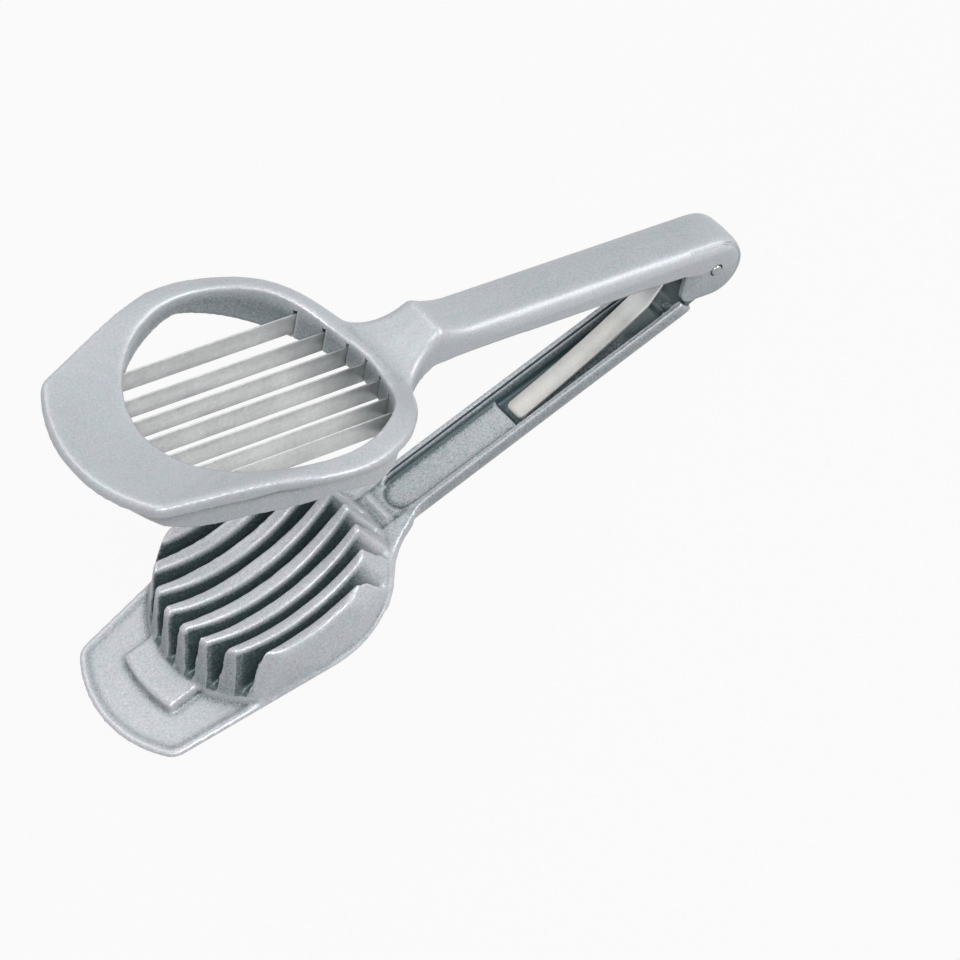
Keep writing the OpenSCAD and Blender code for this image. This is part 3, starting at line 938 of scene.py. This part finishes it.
    def soften(self, name: str, shape: bmesh.types.BMesh) -> bmesh.types.BMesh:
        """Remeshes a closed shape evenly and smooths its edges.

        Args:
            name: name for the working data.
            shape: the closed shape, which is freed.

        Returns:
            The softened shape.
        """
        mesh = bpy.data.meshes.new(name + "_work")
        shape.to_mesh(mesh)
        shape.free()
        work = bpy.data.objects.new(name + "_work", mesh)
        bpy.context.scene.collection.objects.link(work)
        remesh = work.modifiers.new("even", "REMESH")
        remesh.mode = "VOXEL"
        remesh.voxel_size = self.voxel
        soft = self.evaluated(work)
        bpy.data.objects.remove(work)
        bpy.data.meshes.remove(mesh)
        self.ease(soft, list(soft.verts), self.smoothing)
        return soft

    def ease(self, shape: bmesh.types.BMesh, points: list[Any], times: int) -> None:
        """Smooths some points of a shape.

        Args:
            shape: the shape.
            points: its vertices to smooth.
            times: how often.
        """
        for _ in range(times):
            bmesh.ops.smooth_vert(shape, verts=points, factor=0.5,
                                  use_axis_x=True, use_axis_y=True, use_axis_z=True)

    def arm_end(self, shape: bmesh.types.BMesh) -> None:
        """Carries the arm's side walls on under the ears, hollowed to let them turn.

        Args:
            shape: the copy of the lower casting that they are added to.
        """
        hinge = self.arm.hinge
        for sign in (-1.0, 1.0):
            rings = []
            for step in range(self.levels + 1):
                z = self.foot + (self.arm_top - self.foot) * step / self.levels
                low = max(self.edge_round - z, 0.0)
                bulge = math.sqrt(self.edge_round ** 2 - low * low)
                outer = self.wall_outer - self.edge_round + bulge
                reach = hinge.x - math.sqrt(self.sweep ** 2 - (hinge.z - z) ** 2)
                ring = [shape.verts.new((x, sign * y, z)) for x, y in (
                    (self.walls_from, outer), (reach, outer),
                    (reach, self.wall_inner), (self.walls_from, self.wall_inner))]
                rings.append([shape.edges.new((ring[i - 1], ring[i])) for i in range(4)])
            for below, above in zip(rings, rings[1:]):
                bmesh.ops.bridge_loops(shape, edges=below + above)
            for ring in (rings[0], rings[-1]):
                bmesh.ops.contextual_create(shape, geom=ring)
        bmesh.ops.recalc_face_normals(shape, faces=shape.faces)

    def build_lower(self, nodes: dict[str, bpy.types.Object]) -> None:
        """Makes the lower casting, with the ledge and rims of its arm cut sharp.

        Args:
            nodes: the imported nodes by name.
        """
        material = LowerFinish().material("silver_casting_lower")
        shape = as_bmesh(nodes["base_casting"])
        self.arm_end(shape)
        soft = self.soften("lower", shape)
        ribs = [v for v in soft.verts if v.co.xy.length < self.rib_zone and v.co.z > self.rib_foot]
        self.ease(soft, ribs, self.rib_smoothing)
        for end, half, floor in (self.ledge, self.rim_flat):
            tool = bmesh.new()
            block(tool, Vector((self.ledge_from, -half, floor)),
                  Vector((end, half, 2 * self.arm_top)))
            soft = self.joined(soft, "DIFFERENCE", tool)
        piece = put("lower_casting", soft, Matrix.Identity(4), material, self.smooth_angle)
        enrol(piece, "base", Slot.CAST, "base_casting")

    def build_upper(self, nodes: dict[str, bpy.types.Object]) -> None:
        """Makes the upper casting, with its slots, cheeks and wells cut sharp.

        Args:
            nodes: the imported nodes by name.
        """
        shape = as_bmesh(nodes["lid_casting"])
        bmesh.ops.transform(shape, matrix=self.arm.place().inverted(), verts=shape.verts)
        for node in self.blades(nodes):
            low, high = self.arm.box_of(node)
            for end, inward in ((low.x, 1.0), (high.x, -1.0)):
                near, far = sorted((end - inward * self.over, end + inward * self.seat))
                block(shape, Vector((near, low.y - self.over / 3, low.z)),
                      Vector((far, high.y + self.over / 3, high.z + self.slot_head)))
        soft = self.soften("upper", shape)
        soft = self.joined(soft, "DIFFERENCE", self.slots_and_cheeks(nodes))
        soft = self.joined(soft, "UNION", self.cheeks())
        soft = self.joined(soft, "DIFFERENCE", self.pin_wells())
        finish = UpperFinish(hinge=self.arm.hinge, angle=self.arm.angle)
        material = finish.material("silver_casting_upper")
        piece = put("upper_casting", soft, self.arm.place(), material, self.smooth_angle)
        enrol(piece, "lid", Slot.CAST, "lid_casting")

    def build(self, nodes: dict[str, bpy.types.Object]) -> None:
        """Makes both castings."""
        self.build_lower(nodes)
        self.build_upper(nodes)


@dataclass
class BladeSet:
    """Seven thin blades with a ground lower edge."""

    arm: OpenArm
    count: int = 7
    grind: float = 0.7 * MM
    ground_share: float = 0.8
    edge: float = 0.05 * MM

    def build(self, nodes: dict[str, bpy.types.Object]) -> None:
        """Makes each blade in the place of its node.

        Args:
            nodes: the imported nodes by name.
        """
        finish = BladeFinish("blade_strip", (0.44, 0.445, 0.445, 1.0), (0.74, 0.745, 0.745, 1.0),
                             0.36, self.arm.angle, metal=0.4, hinge=self.arm.hinge)
        material = finish.material()
        for number in range(1, self.count + 1):
            name = f"blade_{number}"
            low, high = self.arm.box_of(nodes[name])
            shape = bmesh.new()
            half = (high.y - low.y) / 2
            wide = self.grind / (half * self.ground_share)
            block(shape, Vector((low.x, -half * wide, low.z)),
                  Vector((high.x, half * wide, high.z)))
            bevel(shape, [e for e in shape.edges
                          if all(v.co.z < low.z + MM / 10 for v in e.verts)
                          and abs(e.verts[0].co.x - e.verts[1].co.x) > MM], self.grind, 1)
            bmesh.ops.scale(shape, vec=(1.0, 1.0 / wide, 1.0), verts=shape.verts)
            bevel(shape, [e for e in shape.edges
                          if all(v.co.z > high.z - MM / 10 for v in e.verts)], self.edge, 2)
            middle = Matrix.Translation((0.0, (low.y + high.y) / 2, 0.0))
            piece = put(f"slicing_{name}", shape, self.arm.place() @ middle, material)
            enrol(piece, "lid", Slot.BLADE, name)


@dataclass
class HingePin:
    """The pin, with slightly domed ends."""

    arm: OpenArm
    dome: float = 0.9 * MM

    def build(self, nodes: dict[str, bpy.types.Object]) -> None:
        """Makes the pin in the place of its node.

        Args:
            nodes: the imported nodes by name.
        """
        low, high = self.arm.box_of(nodes["hinge_pin"])
        shape = bmesh.new()
        across(shape, (high.z - low.z) / 2, low.y, high.y)
        bevel(shape, [e for e in shape.edges
                      if all(v.co.y > high.y - MM / 100 for v in e.verts)
                      or all(v.co.y < low.y + MM / 100 for v in e.verts)], self.dome, 4)
        finish = SteelFinish("pin_wire", (0.26, 0.27, 0.28, 1.0), (0.42, 0.43, 0.44, 1.0),
                             0.25, 0.0)
        piece = put("pivot_pin", shape, self.arm.place(), finish.material())
        enrol(piece, "lid", Slot.PIN, "hinge_pin")


@dataclass
class LeafSpring:
    """A bent strip that rises from the arm's channel to the hollow handle."""

    edge: float = 0.12 * MM
    half: float = 2.9 * MM
    corner: float = 1.6 * MM
    cuts: tuple[float, ...] = (22.5, 45.0, 67.5)
    bend: float = -8.0

    def build(self, nodes: dict[str, bpy.types.Object]) -> None:
        """Makes the spring from its node, with a rounded foot and eased edges.

        Args:
            nodes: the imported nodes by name.
        """
        shape = as_bmesh(nodes["leaf_spring"])
        merge_flats(shape)
        self.round_foot(shape)
        sharp = [e for e in shape.edges
                 if e.is_manifold and e.calc_face_angle() > math.radians(60)]
        bmesh.ops.bevel(shape, geom=sharp, offset=self.edge, segments=2, profile=0.5,
                        affect="EDGES", material=-1, clamp_overlap=True)
        # the other colour is the painted highlight at the spring's end by the hinge
        finish = SpringFinish("spring_strip", (0.33, 0.335, 0.33, 1.0), (0.60, 0.59, 0.575, 1.0),
                              0.42, math.radians(self.bend), metal=0.3, stain=0.12,
                              grain=1800.0, other=(0.86, 0.87, 0.88, 1.0))
        piece = put("bent_leaf", shape, Matrix.Identity(4), finish.material())
        enrol(piece, "spring", Slot.SPRING, "leaf_spring")

    def round_foot(self, shape: bmesh.types.BMesh) -> None:
        """Rounds the corners of the strip's foot by plane cuts.

        Args:
            shape: the strip.
        """
        foot = min(v.co.x for v in shape.verts)
        for sign in (-1.0, 1.0):
            centre = Vector((foot + self.corner, sign * (self.half - self.corner), 0.0))
            for turn in self.cuts:
                slant = math.radians(turn)
                out = Vector((-math.cos(slant), sign * math.sin(slant), 0.0))
                cut = bmesh.ops.bisect_plane(
                    shape, geom=shape.verts[:] + shape.edges[:] + shape.faces[:],
                    plane_co=centre + out * self.corner, plane_no=out,
                    clear_outer=True)["geom_cut"]
                bmesh.ops.contextual_create(shape, geom=only(bmesh.types.BMEdge, cut))


# ---- stage -----------------------------------------------------------------


@dataclass(frozen=True)
class Studio:
    """Camera, plain floor and soft lamps."""

    camera_at: Triple = (-0.17764, -0.63769, 0.94658)
    camera_turn: Triple = (33.61906, 11.59264, -37.18138)
    lens: float = 180.53
    floor_size: float = 6.0
    floor_drop: float = 0.02 * MM
    floor_white: float = 0.93
    sky: float = 0.34
    aim: Triple = (0.04, 0.0, 0.03)
    # name, place, length of the side and power of each lamp
    lamps: tuple[tuple[str, Triple, float, float], ...] = (
        ("soft_left", (-0.2, -0.6, 1.1), 0.55, 9.2),
        ("soft_back", (0.1, 0.55, 1.15), 0.7, 3.6),
        ("soft_right", (0.9, -0.55, 0.45), 0.7, 6.8),
    )

    def camera(self) -> None:
        """Makes the scene's camera."""
        data = bpy.data.cameras.new("camera")
        data.sensor_width = 36.0
        data.lens = self.lens
        data.clip_start, data.clip_end = 0.05, 20.0
        made = bpy.data.objects.new("camera", data)
        made.location = self.camera_at
        made.rotation_euler = Euler([math.radians(a) for a in self.camera_turn], "XYZ")
        bpy.context.scene.collection.objects.link(made)
        bpy.context.scene.camera = made

    def whiteness(self, shader: Shader) -> Num:
        """Tells the rays by which the floor or sky is seen or reflected.

        Args:
            shader: the shader it is added to.

        Returns:
            1 for those rays and 0 for the others.
        """
        path = shader.node("ShaderNodeLightPath")
        seen = shader.math("MAXIMUM", Num(shader, path.outputs["Is Camera Ray"]),
                           Num(shader, path.outputs["Is Glossy Ray"]))
        return seen.math("MAXIMUM", Num(shader, path.outputs["Is Transmission Ray"]))

    def floor(self) -> None:
        """Makes the pale floor, which keeps a faint shadow."""
        shape = bmesh.new()
        bmesh.ops.create_grid(shape, x_segments=1, y_segments=1, size=self.floor_size / 2)
        s = Shader.of_material("pale_floor")
        matte = s.node("ShaderNodeBsdfDiffuse", None, {"Color": (0.35, 0.35, 0.35, 1.0)})
        white = s.node("ShaderNodeEmission", None,
                       {"Color": (1.0, 1.0, 1.0, 1.0), "Strength": 1.0})
        mixed = s.node("ShaderNodeMixShader", None,
                       {0: self.whiteness(s) * self.floor_white,
                        1: matte.outputs[0], 2: white.outputs[0]})
        s.finish(mixed)
        drop = Matrix.Translation((0.0, 0.0, -self.floor_drop))
        made = put("floor", shape, drop, s.material)

    def world(self) -> None:
        """Makes an even sky that is white to the eye."""
        world = bpy.data.worlds.new("studio")
        bpy.context.scene.world = world
        s = Shader(world, "ShaderNodeOutputWorld")
        light = s.node("ShaderNodeBackground", None, {0: (0.96, 0.98, 1.0, 1.0), 1: self.sky})
        white = s.node("ShaderNodeBackground", None, {0: (1.0, 1.0, 1.0, 1.0), 1: 1.0})
        s.finish(s.node("ShaderNodeMixShader", None,
                        {0: self.whiteness(s), 1: light.outputs[0], 2: white.outputs[0]}))

    def lamp(self, name: str, at: Triple, size: float, watts: float) -> None:
        """Adds a square soft lamp that faces the middle of the object.

        Args:
            name: the lamp's name.
            at: where it stands.
            size: the length of its side.
            watts: its power.
        """
        data = bpy.data.lights.new(name, "AREA")
        data.shape = "SQUARE"
        data.size = size
        data.energy = watts
        made = bpy.data.objects.new(name, data)
        made.location = at
        towards = Vector(self.aim) - Vector(at)
        made.rotation_euler = towards.to_track_quat("-Z", "Y").to_euler()
        bpy.context.scene.collection.objects.link(made)

    def build(self) -> None:
        """Sets the stage around the object."""
        bpy.context.scene.view_settings.view_transform = "Standard"
        self.floor()
        self.world()
        for lamp in self.lamps:
            self.lamp(*lamp)


# ---- whole object ----------------------------------------------------------


def main() -> None:
    """Builds the stage and every sub-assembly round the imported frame."""
    logging.basicConfig(level=logging.INFO, format="%(name)s: %(message)s")
    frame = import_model()
    studio = Studio()
    studio.camera()
    arm = OpenArm.from_joints(frame["joints"])
    nodes = frame["nodes"]
    Castings(arm).build(nodes)
    BladeSet(arm).build(nodes)
    HingePin(arm).build(nodes)
    LeafSpring().build(nodes)
    studio.build()


if __name__ == "__main__":
    main()
